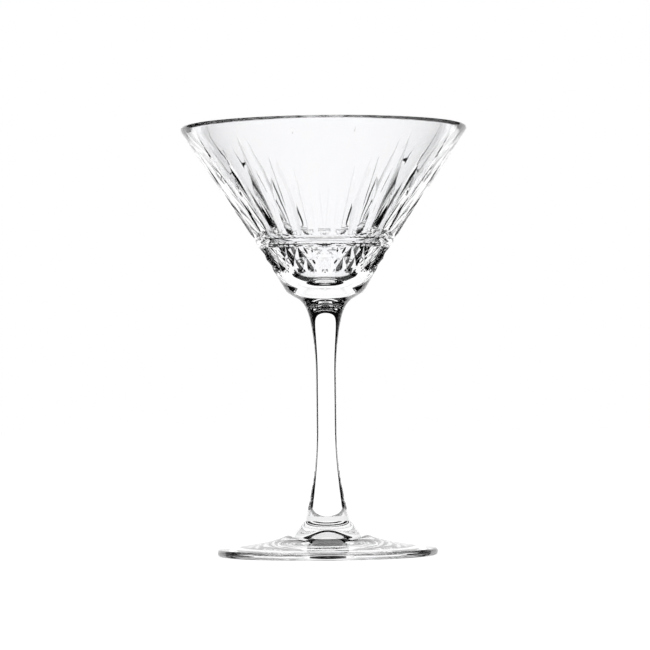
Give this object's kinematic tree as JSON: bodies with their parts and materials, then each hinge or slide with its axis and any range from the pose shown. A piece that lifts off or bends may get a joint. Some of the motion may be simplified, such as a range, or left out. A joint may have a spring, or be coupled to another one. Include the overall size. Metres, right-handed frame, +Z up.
{
  "type": "martini glass",
  "caption": "Stemmed cocktail glass with a cone-shaped bowl, tall pressed flutes above a band of small diamonds, a slim waisted stem and a round foot",
  "frame": {"origin": "centre of the foot on the surface it stands on", "axes": "+Z up along the stem's centre line, from the foot to the rim; X and Y level"},
  "size_m": [0.1157, 0.1158, 0.1733],
  "materials": {
    "clear_glass": "polished clear soda-lime glass, slightly wavy from the press"
  },
  "bodies": {
    "root": {"bowl": "clear_glass", "stem": "clear_glass", "foot": "clear_glass"}
  },
  "joints": []
}
